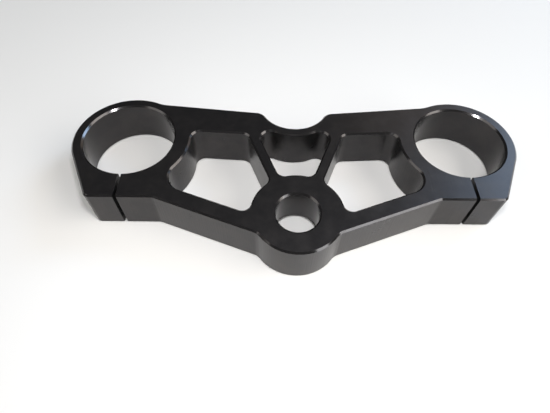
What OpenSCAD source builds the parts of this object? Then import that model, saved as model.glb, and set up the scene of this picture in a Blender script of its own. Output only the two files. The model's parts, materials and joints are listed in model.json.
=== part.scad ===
// Upper triple clamp of a motorcycle fork, machined from one block of aluminium.
// The origin is on the steering stem axis at mid thickness.
// +X points to the right fork leg, +Y from the stem to the fork legs and +Z up.

/* [Fork clamps] */
// Distance between the two fork leg axes
fork_spacing = 200; // [186:1:240]
// Distance from the stem axis to the line through the fork leg axes
fork_offset = 52.5; // [48:0.5:63]
// Bore that grips the fork leg
fork_d = 54; // [45:0.5:58]
// Wall of the clamp ring round the bore
clamp_wall = 6.5; // [5:0.5:8]
// Width of the pinch slot
slot_w = 2; // [1:0.5:3]
// Distance from the fork leg axis to the flat front face of the clamp
lug_reach = 43.3; // [40:0.1:50]
// Width of the flat front face on the stem side of the fork leg axis
lug_inner = 20.5; // [16:0.5:26]
// Slant of the outer flank, away from straight ahead
flank_angle = 25.5; // [15:0.5:30]

/* [Pinch screws] */
// Distance from the front face to the axis of the pinch screw
pinch_inset = 8.8; // [8.4:0.1:9.5]
// Clearance hole of the pinch screw in the outer half of the lug
pinch_clear_d = 8.5; // [6:0.1:9]
// Tapping hole of the pinch screw in the inner half of the lug
pinch_tap_d = 6.8; // [5:0.1:7.5]
// Depth of the tapping hole from the slot
pinch_tap_depth = 20; // [14:1:24]
// Counterbore for the head of the pinch screw
pinch_head_d = 14; // [10:0.5:15]
// Distance from the fork leg axis to the seat of the screw head
pinch_seat = 12; // [9:0.5:14]

/* [Stem] */
// Bore for the top of the steering stem
stem_d = 24; // [20:0.5:27]
// Recess under the stem bore
recess_d = 29; // [26:0.5:34]
// Depth of the recess
recess_depth = 8; // [4:0.5:12]
// Radius of the rounded nose in front of the stem
nose_r = 25; // [22:0.5:30]
// How far the nose stands out from where the two swept edges would meet
nose_proud = 3.8; // [2.5:0.1:6]

/* [Plate] */
// Thickness of the plate
plate_t = 26.5; // [20:0.5:32]
// Width of the break along every edge
edge = 1; // [0.5:0.1:1.4]
// Distance from the line through the fork legs to where the two rear edges would meet
rear_centre = 20.7; // [16:0.1:23]
// How far inside the back of the clamp ring the rear edge runs
rear_drop = 2.3; // [1.5:0.1:5]
// Radius of the scallop in the middle of the rear edge
scallop_r = 21.5; // [18:0.5:25]
// Depth of the scallop
scallop_depth = 11.2; // [9:0.1:13]

/* [Pockets] */
// Radius of the boss left standing round the stem
boss_r = 25.75; // [23:0.25:28]
// Web between the fork bore and the side pocket
bore_web = 10; // [7:0.5:13]
// Web between the swept front edge and the side pocket
front_web = 10; // [7:0.5:13]
// Web behind the side pocket, at the centre line
rear_web = 17.9; // [14:0.1:22]
// Slant of the rear edge of the side pocket
pocket_sweep = 3.5; // [0:0.5:6]
// Width of the struts on both sides of the centre pocket
strut_w = 6; // [4:0.5:8]
// Slant of the struts
strut_angle = 21.5; // [18:0.5:24]
// Distance from the centre line to the strut, at the stem axis
strut_foot = 3.4; // [2:0.1:5]
// Web between the scallop and the centre pocket
scallop_web = 6; // [4:0.5:8]

/* [Corner radii] */
// Between the nose and the swept edge
nose_fillet = 10; // [6:0.5:12]
// Between the swept edge and the flat front face
lug_fillet = 10; // [5:0.5:20]
// Between the front face and the outer flank
flank_r = 4; // [3:0.5:6]
// Between the clamp ring and the rear edge
ring_fillet = 24; // [8:1:28]
// Between the rear edge and the scallop
scallop_corner = 7; // [4:0.5:9]
// Pocket corners next to the stem boss
pocket_boss_r = 5; // [3:0.5:6]
// Pocket corners along the rear webs
pocket_rear_r = 6; // [4:0.5:7]
// Side pocket corner in front of the fork bore
pocket_outer_r = 10.5; // [7:0.5:12]

/* [Hidden] */
$fn = 128;

// Slope of a drill's point
drill_tip = 31;
// Lines and arcs that run into each other overlap by this much, so that they cross
blend = 0.04;
// Straight breaks are this much smaller than round ones, so that their corners stay apart too
flat_edge = edge - blend / 2;
// Cutting shapes run past the faces by this much
over = 1;

half_t = plate_t / 2;
reach_z = half_t + over;
stock_w = 3 * fork_spacing;
fork = [fork_spacing / 2, fork_offset];
fork_r = fork_d / 2;
ring_r = fork_r + clamp_wall;
stem = [0, 0];

// Straight edges of the right half, each as a point and a direction angle
front_y = fork.y - lug_reach;
front_corner = [fork.x - lug_inner, front_y];
sweep_foot = [0, nose_proud - nose_r];
sweep_a = angle_to(sweep_foot, front_corner);
flank_a = 90 - flank_angle;
flank_touch = fork + (ring_r - blend) * dir(flank_a - 90);
flank_corner = meet(front_corner, 0, flank_touch, flank_a);
rear_foot = [0, fork.y + rear_centre];
rear_end = [fork.x, fork.y + ring_r - rear_drop];
rear_a = angle_to(rear_foot, rear_end);
scallop = [0, rear_foot.y - scallop_depth + scallop_r];
scallop_web_r = scallop_r + scallop_web;
web_r = fork_r + bore_web;
pocket_front = beside(sweep_foot, sweep_a, front_web);
pocket_rear = [0, rear_foot.y - rear_web];
strut_a = 90 - strut_angle;
strut_outer = beside([strut_foot, 0], strut_a, -strut_w / 2);
strut_inner = beside([strut_foot, 0], strut_a, strut_w / 2);

// Centres of the corner rounds of the right half
nose_k = reached(beside(front_corner, sweep_a, -nose_fillet), sweep_a + 180, stem, nose_r + nose_fillet);
lug_k = meet(beside(front_corner, 0, -lug_fillet), 0, beside(front_corner, sweep_a, -lug_fillet), sweep_a);
flank_k = meet(beside(front_corner, 0, flank_r), 0, beside(flank_touch, flank_a, flank_r), flank_a);
ring_k = reached(beside(rear_foot, rear_a, ring_fillet), rear_a, fork, ring_r + ring_fillet);
scallop_k = reached(beside(rear_end, rear_a, -scallop_corner), rear_a + 180, scallop,
                    scallop_r + scallop_corner);
boss_front_k = reached(beside(front_corner, sweep_a, front_web + pocket_boss_r), sweep_a + 180, stem,
                       boss_r + pocket_boss_r);
boss_strut_k = left(beside(strut_outer, strut_a, -pocket_boss_r), strut_a, stem, boss_r + pocket_boss_r);
strut_rear_k = meet(beside(strut_outer, strut_a, -pocket_rear_r), strut_a,
                    beside(pocket_rear, pocket_sweep, -pocket_rear_r), pocket_sweep);
web_rear_k = reached(beside(pocket_rear, pocket_sweep, -pocket_rear_r), pocket_sweep, fork,
                     web_r + pocket_rear_r);
web_front_k = reached(beside(pocket_front, sweep_a, pocket_outer_r), sweep_a, fork, web_r + pocket_outer_r);
boss_centre_k = left(beside(strut_inner, strut_a, pocket_boss_r), strut_a, stem, boss_r + pocket_boss_r);
ear_k = reached(beside(strut_inner, strut_a, pocket_rear_r), strut_a, scallop, scallop_web_r + pocket_rear_r);

function dir(a) = [cos(a), sin(a)];
function angle_to(p, q) = atan2(q.y - p.y, q.x - p.x);
// A point moved sideways from the direction a, to its left
function beside(p, a, w) = p + w * [-sin(a), cos(a)];
// The foot of p on the line through q in the direction a
function foot(p, q, a) = q + dir(a) * ((p - q) * dir(a));
// A point at the distance r from k, towards q
function towards(k, q, r) = k + r * dir(angle_to(k, q));
// Where the line through p in the direction a meets the line through q in the direction b
function meet(p, a, q, b) = p + dir(a) * ((q.x - p.x) * sin(b) - (q.y - p.y) * cos(b)) / sin(b - a);
// Where the line through p in the direction a first reaches the circle round c, and where it leaves it
function reached(p, a, c, r) = p + dir(a) * (along(p, a, c) - half_chord(p, a, c, r));
function left(p, a, c, r) = p + dir(a) * (along(p, a, c) + half_chord(p, a, c, r));
function along(p, a, c) = (c - p) * dir(a);
function half_chord(p, a, c, r) = sqrt(r * r - (c - p) * (c - p) + pow(along(p, a, c), 2));

module both_sides() {
  children();
  mirror([1, 0, 0]) children();
}

// A round post through the plate at k, drawn in at both faces by the edge break, or opened out with flare 1
module drum(k, r, flare = -1) {
  end_r = r + flare * (edge + over);
  translate(k) rotate_extrude()
    polygon([[0, -reach_z], [end_r, -reach_z], [r, edge - half_t], [r, half_t - edge], [end_r, reach_z],
             [0, reach_z]]);
}

// The four-sided field between the directions a and b from k that reaches past the corner of their tangents
module sector(k, r, a, b) {
  h = (b - a) / 2;
  reach = r + 2 * edge;
  translate(k) linear_extrude(2 * reach_z, center = true)
    polygon([[0, 0], reach * dir(a), reach / cos(h) * dir(a + h), reach * dir(b)]);
}

// What a convex corner loses to its round
module corner_waste(k, r, a, b) {
  difference() {
    sector(k, r, a, b);
    drum(k, r + blend);
  }
}

// What a concave corner gains from its fillet
module corner_fill(k, r, a, b) {
  difference() {
    sector(k, r, a, b);
    drum(k, r + blend, 1);
  }
}

// Takes the break off both ends of the straight wall from p to q, which has the metal on its left,
// or on its right with flip
module break_edge(p, q, flip = false) {
  translate(p) rotate(angle_to(p, q)) mirror([0, flip ? 1 : 0, 0]) for (side = [0, 1]) mirror([0, 0, side])
    rotate([90, 0, 90]) linear_extrude(norm(q - p))
      polygon([[-over, half_t - flat_edge - over], [flat_edge + over, reach_z], [-over, reach_z]]);
}

// Right half of the solid plate, from just past the centre line
module plate_half() {
  // Straight breaks that meet at the foot of the sweep run on by this much
  lap = edge / 2;
  difference() {
    linear_extrude(2 * reach_z, center = true)
      polygon([[-over, sweep_foot.y + over], sweep_foot, front_corner, flank_corner, flank_touch, fork,
               rear_end, rear_foot, [-over, rear_foot.y - over]]);
    break_edge(sweep_foot, front_corner + lap * dir(sweep_a));
    break_edge(front_corner - [lap, 0], flank_corner + [over, 0]);
    break_edge(flank_corner - over * dir(flank_a), flank_touch + over * dir(flank_a));
    break_edge(rear_end, rear_foot);
    corner_waste(flank_k, flank_r, -90, flank_a - 90);
  }
  drum(fork, ring_r);
  corner_fill(nose_k, nose_fillet, sweep_a + 90, angle_to(nose_k, stem));
  corner_fill(lug_k, lug_fillet, 90, sweep_a + 90);
  corner_fill(ring_k, ring_fillet, rear_a - 90, angle_to(ring_k, fork));
}

module solid_plate() {
  difference() {
    union() {
      both_sides() plate_half();
      drum(stem, nose_r);
    }
    drum(scallop, scallop_r, 1);
    both_sides() corner_waste(scallop_k, scallop_corner, rear_a + 90, angle_to(scallop_k, scallop));
  }
}

// Side pocket of the right half, with the breaks of its round walls only
module side_pocket() {
  difference() {
    linear_extrude(2 * reach_z, center = true)
      polygon([foot(boss_front_k, pocket_front, sweep_a), boss_front_k,
               towards(boss_front_k, stem, pocket_boss_r + over),
               towards(boss_strut_k, stem, pocket_boss_r + over), boss_strut_k,
               foot(boss_strut_k, strut_outer, strut_a), foot(strut_rear_k, strut_outer, strut_a),
               strut_rear_k, foot(strut_rear_k, pocket_rear, pocket_sweep),
               foot(web_rear_k, pocket_rear, pocket_sweep), web_rear_k,
               towards(web_rear_k, fork, pocket_rear_r + over),
               towards(web_front_k, fork, pocket_outer_r + over), web_front_k,
               foot(web_front_k, pocket_front, sweep_a)]);
    drum(stem, boss_r);
    drum(fork, web_r);
  }
  drum(boss_front_k, pocket_boss_r + blend, 1);
  drum(boss_strut_k, pocket_boss_r + blend, 1);
  drum(strut_rear_k, pocket_rear_r + blend, 1);
  drum(web_rear_k, pocket_rear_r + blend, 1);
  drum(web_front_k, pocket_outer_r + blend, 1);
}

// Right half of the centre pocket, from just past the centre line, with the breaks of its round walls only
module centre_pocket_half() {
  difference() {
    linear_extrude(2 * reach_z, center = true)
      polygon([[-over, 0], towards(boss_centre_k, stem, pocket_boss_r + over), boss_centre_k,
               foot(boss_centre_k, strut_inner, strut_a), foot(ear_k, strut_inner, strut_a), ear_k,
               towards(ear_k, scallop, pocket_rear_r + over), [-over, scallop.y]]);
    drum(stem, boss_r);
    drum(scallop, scallop_web_r);
  }
  drum(boss_centre_k, pocket_boss_r + blend, 1);
  drum(ear_k, pocket_rear_r + blend, 1);
}

// Breaks of the straight pocket walls of the right half
module pocket_breaks() {
  break_edge(foot(boss_front_k, pocket_front, sweep_a), foot(web_front_k, pocket_front, sweep_a), true);
  break_edge(foot(web_rear_k, pocket_rear, pocket_sweep), foot(strut_rear_k, pocket_rear, pocket_sweep),
             true);
  break_edge(foot(strut_rear_k, strut_outer, strut_a), foot(boss_strut_k, strut_outer, strut_a), true);
  break_edge(foot(boss_centre_k, strut_inner, strut_a), foot(ear_k, strut_inner, strut_a), true);
}

module pocketed_plate() {
  difference() {
    difference() {
      solid_plate();
      both_sides() side_pocket();
      both_sides() centre_pocket_half();
    }
    both_sides() pocket_breaks();
  }
}

// Fork bore with its pinch slot and the holes of its pinch screw
module clamp_cuts() {
  slot_side = slot_w / 2;
  drum(fork, fork_r, 1);
  translate([fork.x - slot_side, front_y - over, -reach_z]) cube([slot_w, lug_reach + over, 2 * reach_z]);
  translate([fork.x, front_y + pinch_inset, 0]) {
    rotate([0, 90, 0]) cylinder(d = pinch_clear_d, h = ring_r);
    translate([pinch_seat, 0, 0]) rotate([0, 90, 0]) cylinder(d = pinch_head_d, h = ring_r);
    rotate([0, -90, 0]) cylinder(d = pinch_tap_d, h = slot_side + pinch_tap_depth);
    translate([-slot_side - pinch_tap_depth, 0, 0])
      rotate([0, -90, 0]) cylinder(d1 = pinch_tap_d, d2 = 0, h = pinch_tap_d / 2 * tan(drill_tip));
  }
}

// Stem bore with the recess under it, its mouth opened out by the edge break
module stem_cuts() {
  recess_r = recess_d / 2;
  mouth_r = recess_r + edge + over;
  drum(stem, stem_d / 2, 1);
  rotate_extrude()
    polygon([[0, -reach_z], [mouth_r, -reach_z], [recess_r, edge - half_t], [recess_r, recess_depth - half_t],
             [0, recess_depth - half_t]]);
}

module triple_clamp() {
  color([0.13, 0.13, 0.14]) intersection() {
    cube([stock_w, stock_w, plate_t], center = true);
    difference() {
      pocketed_plate();
      both_sides() clamp_cuts();
      stem_cuts();
    }
  }
}

triple_clamp();
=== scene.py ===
import json
import math
import bmesh
import bpy
from mathutils import Matrix, Vector

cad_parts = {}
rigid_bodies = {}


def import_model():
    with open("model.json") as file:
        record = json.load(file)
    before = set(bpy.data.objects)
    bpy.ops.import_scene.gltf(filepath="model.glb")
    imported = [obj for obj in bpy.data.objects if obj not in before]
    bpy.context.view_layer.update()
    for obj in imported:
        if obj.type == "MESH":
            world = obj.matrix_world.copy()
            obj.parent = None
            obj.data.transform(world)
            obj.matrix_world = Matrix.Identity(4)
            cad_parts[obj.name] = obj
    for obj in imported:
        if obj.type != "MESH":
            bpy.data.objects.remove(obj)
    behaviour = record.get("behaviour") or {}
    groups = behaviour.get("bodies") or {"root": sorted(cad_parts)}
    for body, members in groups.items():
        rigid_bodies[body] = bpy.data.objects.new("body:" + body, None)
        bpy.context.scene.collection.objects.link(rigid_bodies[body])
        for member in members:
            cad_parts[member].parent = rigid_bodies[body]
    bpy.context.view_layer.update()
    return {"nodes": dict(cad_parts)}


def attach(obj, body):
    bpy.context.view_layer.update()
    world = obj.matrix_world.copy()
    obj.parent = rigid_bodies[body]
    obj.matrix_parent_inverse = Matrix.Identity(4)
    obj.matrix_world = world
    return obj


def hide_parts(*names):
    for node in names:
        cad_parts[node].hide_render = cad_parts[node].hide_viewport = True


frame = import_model()
mm = 0.001


def linear(hexColour):
    # sRGB hex to the linear values that the shaders work in
    parts = [int(hexColour[i:i + 2], 16) / 255 for i in (1, 3, 5)]
    return tuple(c / 12.92 if c <= 0.04045 else ((c + 0.055) / 1.055) ** 2.4 for c in parts) + (1.0,)


def addNode(tree, kind, settings=None, links=None):
    # settings go from a property or an input to its value, links from an input to the socket that feeds it.
    # An input is given by its name, or by its number where several share one name
    node = tree.nodes.new(kind)
    for key, value in (settings or {}).items():
        if isinstance(key, int) or key in node.inputs:
            node.inputs[key].default_value = value
        else:
            setattr(node, key, value)
    for key, socket in (links or {}).items():
        tree.links.new(socket, node.inputs[key])
    return node


# the clamp itself: the CAD solid, with a row of very narrow faces along every edge, beside which the flat
# faces keep their own shading
clamp = {
    "node": "triple_clamp",
    "thickness": 26.5 * mm,
    "forkAxis": (100 * mm, 52.5 * mm),   # right leg, the left one mirrors it
    "forkBore": 27 * mm,                 # this and the next are radii
    "recessBore": 14.5 * mm,
    "pinchRow": 18 * mm,                 # y of both pinch screws
    "pinchHead": 7 * mm,                 # radius of the counterbore
    "pinchInner": 75 * mm,               # the pinch screw holes lie outside this |x|
    "slotHalf": 1 * mm,
    "edgeBreak": 1 * mm,
    "edgeRound": 0.12 * mm,              # asked for, but clamp_overlap cuts it to under 0.001 mm everywhere
    "roundSegments": 2,
    "roundFrom": 25,                     # degrees between two faces that count as an edge
    "weld": 0.002 * mm,                  # points closer than this become one
    "flatWithin": 0.4,                   # degrees between two triangles of one flat face
    "flatWeight": 80,                    # how much a large face keeps its own shading beside them
}
cutters = ["faceMill", "endMill", "boringBar", "chamferMill", "slittingSaw", "drill"]
# a face is told by its normal and its distance from the sizes above
faceTest = {
    "level": 0.95,       # |z| of the normal on the top and the underside
    "upright": 0.3,      # |z| of the normal on a wall is below this
    "sideways": 0.9,     # |x| of the normal on the walls of a slot
    "near": 0.1 * mm,
}


def cutterOf(centre, normal):
    # which cutter made this face
    side = abs(centre.x)
    fork = math.hypot(side - clamp["forkAxis"][0], centre.y - clamp["forkAxis"][1])
    stem = math.hypot(centre.x, centre.y)
    pinch = math.hypot(centre.y - clamp["pinchRow"], centre.z)
    near = faceTest["near"]
    upright = abs(normal.z) < faceTest["upright"]
    sideways = abs(normal.x) > faceTest["sideways"]
    if abs(normal.z) > faceTest["level"]:
        return "faceMill"
    if upright and (abs(fork - clamp["forkBore"]) < near or stem < clamp["recessBore"] + near):
        return "boringBar"
    if not upright and abs(centre.z) > clamp["thickness"] / 2 - clamp["edgeBreak"] - near:
        return "chamferMill"
    if sideways and abs(abs(side - clamp["forkAxis"][0]) - clamp["slotHalf"]) < near:
        return "slittingSaw"
    if not sideways and side > clamp["pinchInner"] and pinch < clamp["pinchHead"] + near:
        return "drill"
    return "endMill"


def makeClamp(source):
    bm = bmesh.new()
    bm.from_mesh(source.data)
    bmesh.ops.remove_doubles(bm, verts=bm.verts, dist=clamp["weld"])
    bmesh.ops.recalc_face_normals(bm, faces=bm.faces)
    bmesh.ops.dissolve_limit(bm, angle_limit=math.radians(clamp["flatWithin"]), verts=bm.verts,
                             edges=bm.edges, delimit=set())
    roundFrom = math.radians(clamp["roundFrom"])
    sharp = [e for e in bm.edges if len(e.link_faces) == 2 and e.calc_face_angle(0) > roundFrom]
    bmesh.ops.bevel(bm, geom=sharp, offset=clamp["edgeRound"], offset_type="OFFSET", affect="EDGES",
                    segments=clamp["roundSegments"], profile=0.5, material=-1, clamp_overlap=True)
    bmesh.ops.triangulate(bm, faces=[f for f in bm.faces if len(f.verts) > 4])
    for face in bm.faces:
        face.smooth = True
        face.material_index = cutters.index(cutterOf(face.calc_center_median(), face.normal))
    mesh = bpy.data.meshes.new("clampBody")
    bm.to_mesh(mesh)
    bm.free()
    piece = bpy.data.objects.new("clampBody", mesh)
    bpy.context.collection.objects.link(piece)
    weighted = piece.modifiers.new("flatFacesStayFlat", "WEIGHTED_NORMAL")
    weighted.mode = "FACE_AREA"
    weighted.weight = clamp["flatWeight"]
    weighted.keep_sharp = True
    return piece


clampBody = makeClamp(frame["nodes"][clamp["node"]])
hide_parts(clamp["node"])
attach(clampBody, "root")
print("clamp body:", len(clampBody.data.polygons), "faces")


# black anodised aluminium: a dyed oxide film over bare metal, which the eye sees as a dark metal with a satin
# gloss. The film copies what each cutter left under it, and that is all that tells one surface from the next
anodise = {
    "dye": "#403f40",
    "dyeThin": "#474545",          # where the film took up less dye
    "edgeDye": "#504f50",          # the film is thinner along the broken edges
    "metallic": 0.85,              # the rest is the clear oxide
    "cloudSize": 9 * mm,
    "dyeRange": (0.4, 0.7),        # the part of the clouds over which the dye goes from full to thin
    "glossRange": (0.3, 0.7),      # the part over which the roughness goes through its spread
    "grainSize": 0.25 * mm,        # etch of the anodising bath, 0.02 mm in life and drawn coarser to show
    "grainDepth": 0.0012 * mm,
}
# what each cutter leaves: roughness and its spread, depth and pitch of its marks, and how they are drawn out
# along the axes. The real pitches are 0.1 to 0.3 mm, too fine for the render, so they are drawn coarser
finish = {
    "faceMill": {"roughness": 0.35, "spread": 0.03, "depth": 0.020 * mm, "pitch": 0.9 * mm,
                 "radius": 63 * mm, "feedRow": 20 * mm},     # feedRow is the y of the mill's path
    "endMill": {"roughness": 0.30, "spread": 0.03, "depth": 0.080 * mm, "pitch": 0.6 * mm,
                "stretch": (1, 1, 0.02)},
    "boringBar": {"roughness": 0.20, "spread": 0.02, "depth": 0.045 * mm, "pitch": 0.6 * mm,
                  "stretch": (0.02, 0.02, 1)},
    "chamferMill": {"roughness": 0.16, "spread": 0.02, "depth": 0.002 * mm, "pitch": 0.7 * mm,
                    "stretch": (1, 1, 0.1)},
    "slittingSaw": {"roughness": 0.38, "spread": 0.03, "depth": 0.080 * mm, "pitch": 0.6 * mm,
                    "stretch": (1, 0.03, 1)},
    "drill": {"roughness": 0.30, "spread": 0.03, "depth": 0.080 * mm, "pitch": 0.6 * mm,
              "stretch": (1, 0.03, 0.03)},
}


def faceMillMarks(tree, coords, cut):
    # each tooth of a face mill fed along X cuts an arc of the mill's radius, and x less sqrt(r2 - y2) is
    # the same all along it
    parts = addNode(tree, "ShaderNodeSeparateXYZ", links={"Vector": coords})
    fromFeed = addNode(tree, "ShaderNodeMath", {"operation": "SUBTRACT", 1: cut["feedRow"]},
                       {0: parts.outputs["Y"]})
    square = addNode(tree, "ShaderNodeMath", {"operation": "MULTIPLY"},
                     {0: fromFeed.outputs[0], 1: fromFeed.outputs[0]})
    left = addNode(tree, "ShaderNodeMath", {"operation": "SUBTRACT", 0: cut["radius"] ** 2},
                   {1: square.outputs[0]})
    root = addNode(tree, "ShaderNodeMath", {"operation": "SQRT"}, {0: left.outputs[0]})
    start = addNode(tree, "ShaderNodeMath", {"operation": "SUBTRACT"},
                    {0: parts.outputs["X"], 1: root.outputs[0]})
    return addNode(tree, "ShaderNodeTexNoise",
                   {"noise_dimensions": "1D", "Scale": 1 / cut["pitch"], "Detail": 2.0},
                   {"W": start.outputs[0]})


def drawnMarks(tree, coords, cut):
    # the other cutters draw their marks out in straight lines
    place = addNode(tree, "ShaderNodeMapping", {"Scale": cut["stretch"]}, {"Vector": coords})
    return addNode(tree, "ShaderNodeTexNoise", {"Scale": 1 / cut["pitch"], "Detail": 2.0},
                   {"Vector": place.outputs["Vector"]})


def anodisedMaterial(cutter):
    cut = finish[cutter]
    mat = bpy.data.materials.new(cutter + "BlackAnodisedAluminium")
    mat.use_nodes = True
    tree = mat.node_tree
    tree.nodes.clear()
    coords = addNode(tree, "ShaderNodeTexCoord").outputs["Object"]
    marks = (faceMillMarks if cutter == "faceMill" else drawnMarks)(tree, coords, cut)
    grain = addNode(tree, "ShaderNodeTexNoise", {"Scale": 1 / anodise["grainSize"], "Detail": 1.0},
                    {"Vector": coords})
    cloud = addNode(tree, "ShaderNodeTexNoise",
                    {"Scale": 1 / anodise["cloudSize"], "Detail": 4.0, "Roughness": 0.6}, {"Vector": coords})
    dyeFrom, dyeTo = anodise["dyeRange"]
    tone = addNode(tree, "ShaderNodeMapRange", {"From Min": dyeFrom, "From Max": dyeTo},
                   {"Value": cloud.outputs["Fac"]})
    dye = anodise["edgeDye"] if cutter == "chamferMill" else anodise["dye"]
    colour = addNode(tree, "ShaderNodeMix",
                     {"data_type": "RGBA", 6: linear(dye), 7: linear(anodise["dyeThin"])},
                     {0: tone.outputs["Result"]})
    glossFrom, glossTo = anodise["glossRange"]
    rough = addNode(tree, "ShaderNodeMapRange",
                    {"From Min": glossFrom, "From Max": glossTo, "To Min": cut["roughness"] - cut["spread"],
                     "To Max": cut["roughness"] + cut["spread"]}, {"Value": cloud.outputs["Fac"]})
    markBump = addNode(tree, "ShaderNodeBump", {"Distance": cut["depth"]}, {"Height": marks.outputs["Fac"]})
    grainBump = addNode(tree, "ShaderNodeBump", {"Distance": anodise["grainDepth"]},
                        {"Height": grain.outputs["Fac"], "Normal": markBump.outputs["Normal"]})
    shader = addNode(tree, "ShaderNodeBsdfPrincipled", {"Metallic": anodise["metallic"]},
                     {"Base Color": colour.outputs[2], "Roughness": rough.outputs["Result"],
                      "Normal": grainBump.outputs["Normal"]})
    addNode(tree, "ShaderNodeOutputMaterial", links={"Surface": shader.outputs["BSDF"]})
    return mat


for cutter in finish:
    clampBody.data.materials.append(anodisedMaterial(cutter))
print("materials:", ", ".join(mat.name for mat in clampBody.data.materials))


# uncoated white card: no gloss, only the faint unevenness of pressed paper fibre
card = {
    "top": -13.25 * mm,            # level with the underside of the clamp
    "size": 2.4,
    "colour": "#ededeb",
    "roughness": 0.75,
    "fibre": 0.8 * mm,
    "fibreDepth": 0.01 * mm,
}


def makeCard():
    bm = bmesh.new()
    bmesh.ops.create_grid(bm, x_segments=1, y_segments=1, size=card["size"] / 2)
    bmesh.ops.translate(bm, verts=bm.verts, vec=(0, 0, card["top"]))
    mesh = bpy.data.meshes.new("whiteCard")
    bm.to_mesh(mesh)
    bm.free()
    mat = bpy.data.materials.new("matteCard")
    mat.use_nodes = True
    tree = mat.node_tree
    shader = tree.nodes["Principled BSDF"]
    shader.inputs["Base Color"].default_value = linear(card["colour"])
    shader.inputs["Roughness"].default_value = card["roughness"]
    coords = addNode(tree, "ShaderNodeTexCoord").outputs["Object"]
    fibre = addNode(tree, "ShaderNodeTexNoise", {"Scale": 1 / card["fibre"], "Detail": 3.0},
                    {"Vector": coords})
    bump = addNode(tree, "ShaderNodeBump", {"Distance": card["fibreDepth"]}, {"Height": fibre.outputs["Fac"]})
    tree.links.new(bump.outputs["Normal"], shader.inputs["Normal"])
    mesh.materials.append(mat)
    sheet = bpy.data.objects.new("whiteCard", mesh)
    bpy.context.collection.objects.link(sheet)


# soft lamps where the photograph's light comes from: azimuth in degrees from straight in front towards the
# right, elevation, distance and side in metres, watts
lamps = {
    "rightSoftbox": {"azimuth": 80, "elevation": 40, "distance": 1.5, "side": 1.0, "watts": 13.0,
                     "colour": "#fff9f2"},
    "lowSoftbox": {"azimuth": 50, "elevation": 20, "distance": 1.5, "side": 0.6, "watts": 5.0,
                   "colour": "#ffffff"},
    "leftSoftbox": {"azimuth": -75, "elevation": 40, "distance": 1.5, "side": 1.0, "watts": 4.9,
                    "colour": "#fffbf5"},
    "frontSoftbox": {"azimuth": 0, "elevation": 68, "distance": 1.5, "side": 0.4, "watts": 6.4,
                     "colour": "#ffffff"},
    "window": {"azimuth": 126, "elevation": 33, "distance": 1.5, "side": 0.5, "watts": 7.0,
               "colour": "#b8daff"},
    "windowWall": {"azimuth": 140, "elevation": 30, "distance": 1.5, "side": 1.0, "watts": 2.2,
                   "colour": "#ffe9d2"},
    "lampOverCamera": {"azimuth": -2.2, "elevation": 67.5, "distance": 0.272, "side": 0.03, "watts": 0.35,
                       "colour": "#fffdff"},
}
aim = Vector((0, 30 * mm, 0))      # every lamp looks at the middle of the clamp


def makeLamp(name, lamp):
    data = bpy.data.lights.new(name, "AREA")
    data.size = lamp["side"]
    data.energy = lamp["watts"]
    data.color = linear(lamp["colour"])[:3]
    turn, tilt = math.radians(lamp["azimuth"]), math.radians(lamp["elevation"])
    away = Vector((math.sin(turn) * math.cos(tilt), -math.cos(turn) * math.cos(tilt), math.sin(tilt)))
    shining = bpy.data.objects.new(name, data)
    shining.location = aim + away * lamp["distance"]
    shining.rotation_euler = (-away).to_track_quat("-Z", "Y").to_euler()
    shining.visible_camera = False
    bpy.context.collection.objects.link(shining)


room = {
    "colour": "#f4f4f4",
    "above": 0.04,      # what the walls give back
    "below": 0.7,       # the pale floor round the card, which lights the underside when the card is away
    "seen": 0.8,        # how bright the room looks behind the card
    "horizon": 0.03,    # half the band over which below passes into above
}


def makeRoom():
    world = bpy.data.worlds.new("paleRoom")
    world.use_nodes = True
    tree = world.node_tree
    coords = addNode(tree, "ShaderNodeTexCoord").outputs["Generated"]
    direction = addNode(tree, "ShaderNodeSeparateXYZ", links={"Vector": coords})
    light = addNode(tree, "ShaderNodeMapRange",
                    {"From Min": -room["horizon"], "From Max": room["horizon"], "To Min": room["below"],
                     "To Max": room["above"]}, {"Value": direction.outputs["Z"]})
    path = addNode(tree, "ShaderNodeLightPath")
    strength = addNode(tree, "ShaderNodeMapRange", {"To Max": room["seen"]},
                       {"Value": path.outputs["Is Camera Ray"], "To Min": light.outputs["Result"]})
    background = tree.nodes["Background"]
    background.inputs["Color"].default_value = linear(room["colour"])
    tree.links.new(strength.outputs["Result"], background.inputs["Strength"])
    bpy.context.scene.world = world


makeCard()
for name in lamps:
    makeLamp(name, lamps[name])
makeRoom()

# the photograph's camera
shot = {
    "place": (-15.28 * mm, -122.19 * mm, 199.31 * mm),
    "down": 55.963,      # degrees below level
    "turn": -1.399,      # degrees about Z from straight ahead, less than 0 is to the right
    "roll": 1.736,
    "focal": 27.33,      # mm on the sensor
    "sensor": 36.0,      # mm wide
    "clipStart": 0.01,
}


def makeCamera():
    data = bpy.data.cameras.new("photoCamera")
    data.sensor_width = shot["sensor"]
    data.lens = shot["focal"]
    data.clip_start = shot["clipStart"]
    camera = bpy.data.objects.new("photoCamera", data)
    camera.matrix_world = (Matrix.Translation(shot["place"])
                           @ Matrix.Rotation(math.radians(shot["turn"]), 4, "Z")
                           @ Matrix.Rotation(math.radians(90 - shot["down"]), 4, "X")
                           @ Matrix.Rotation(math.radians(shot["roll"]), 4, "Z"))
    bpy.context.collection.objects.link(camera)
    bpy.context.scene.camera = camera


makeCamera()
bpy.context.scene.view_settings.view_transform = "Standard"
print("card, lamps and camera set")
